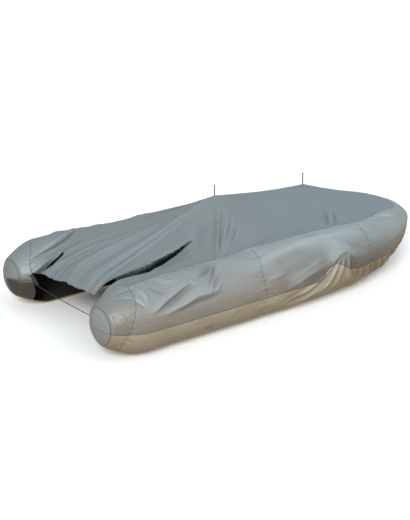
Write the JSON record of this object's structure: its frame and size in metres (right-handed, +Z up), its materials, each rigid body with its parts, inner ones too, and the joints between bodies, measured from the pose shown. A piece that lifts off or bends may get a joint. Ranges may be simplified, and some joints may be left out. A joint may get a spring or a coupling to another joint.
{
  "type": "fitted inflatable-boat cover with support poles",
  "caption": "Grey fitted cloth cover shaped to an inflatable boat, tented over two upright support poles and tied at the stern; hollow inside.",
  "frame": {"origin": "centre of the footprint, on the ground under the cover", "axes": "+X towards the bow, +Y to port, +Z up"},
  "size_m": [3.0916, 1.5759, 0.769],
  "materials": {
    "deck_cloth": "satin coated polyester",
    "side_cloth": "satin coated polyester",
    "band_cloth": "satin coated polyester, taupe",
    "pole_rod": "dark, smooth",
    "tie_webbing": "matt black webbing and cord"
  },
  "bodies": {
    "root": {"deck_panel": "deck_cloth", "side_aft_starboard": "side_cloth", "side_forward_starboard": "side_cloth", "side_aft_port": "side_cloth", "side_forward_port": "side_cloth", "bow_panel": "side_cloth", "sock_upper_starboard": "side_cloth", "sock_upper_port": "side_cloth", "nose_upper_starboard": "side_cloth", "nose_lower_starboard": "side_cloth", "nose_upper_port": "side_cloth", "nose_lower_port": "side_cloth", "band_aft_starboard": "band_cloth", "band_forward_starboard": "band_cloth", "band_aft_port": "band_cloth", "band_forward_port": "band_cloth", "band_bow": "band_cloth", "sock_lower_starboard": "band_cloth", "sock_lower_port": "band_cloth", "pole_aft": "pole_rod", "pole_fore": "pole_rod", "tab_starboard": "tie_webbing", "tab_port": "tie_webbing", "tie_cord": "tie_webbing"}
  },
  "joints": []
}
